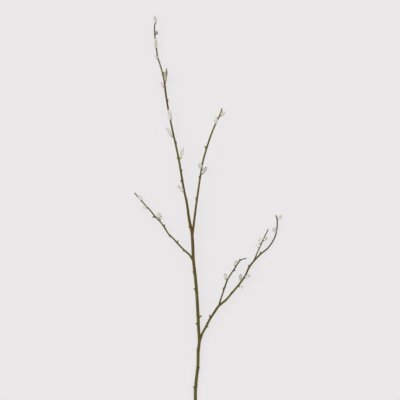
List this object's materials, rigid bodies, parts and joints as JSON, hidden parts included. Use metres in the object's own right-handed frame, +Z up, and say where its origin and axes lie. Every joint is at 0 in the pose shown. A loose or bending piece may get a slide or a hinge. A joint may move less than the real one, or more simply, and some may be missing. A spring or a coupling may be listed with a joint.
{
  "type": "willow twig",
  "caption": "Cut twig of pussy willow with furry silver catkins on slim brown-green shoots, lying flat.",
  "frame": {"origin": "on the surface that the twig lies on, under the middle of its bounding box", "axes": "+Y along the twig from its cut foot to the top of its leader, +X to the right of the picture, +Z up"},
  "size_m": [0.414, 1.0892, 0.0654],
  "materials": {
    "bark": "satin",
    "catkin_fur": "matte"
  },
  "bodies": {
    "root": {"stem": "bark", "catkin_01": "catkin_fur", "catkin_02": "catkin_fur", "catkin_03": "catkin_fur", "catkin_04": "catkin_fur", "catkin_05": "catkin_fur", "catkin_06": "catkin_fur", "catkin_07": "catkin_fur", "catkin_08": "catkin_fur", "catkin_09": "catkin_fur", "catkin_10": "catkin_fur", "catkin_11": "catkin_fur", "catkin_12": "catkin_fur", "catkin_13": "catkin_fur", "catkin_14": "catkin_fur", "catkin_15": "catkin_fur", "catkin_16": "catkin_fur", "catkin_17": "catkin_fur", "catkin_18": "catkin_fur", "catkin_19": "catkin_fur", "catkin_20": "catkin_fur", "catkin_21": "catkin_fur", "catkin_22": "catkin_fur", "catkin_23": "catkin_fur", "catkin_24": "catkin_fur", "catkin_25": "catkin_fur", "catkin_26": "catkin_fur", "catkin_27": "catkin_fur", "catkin_28": "catkin_fur"}
  },
  "joints": []
}
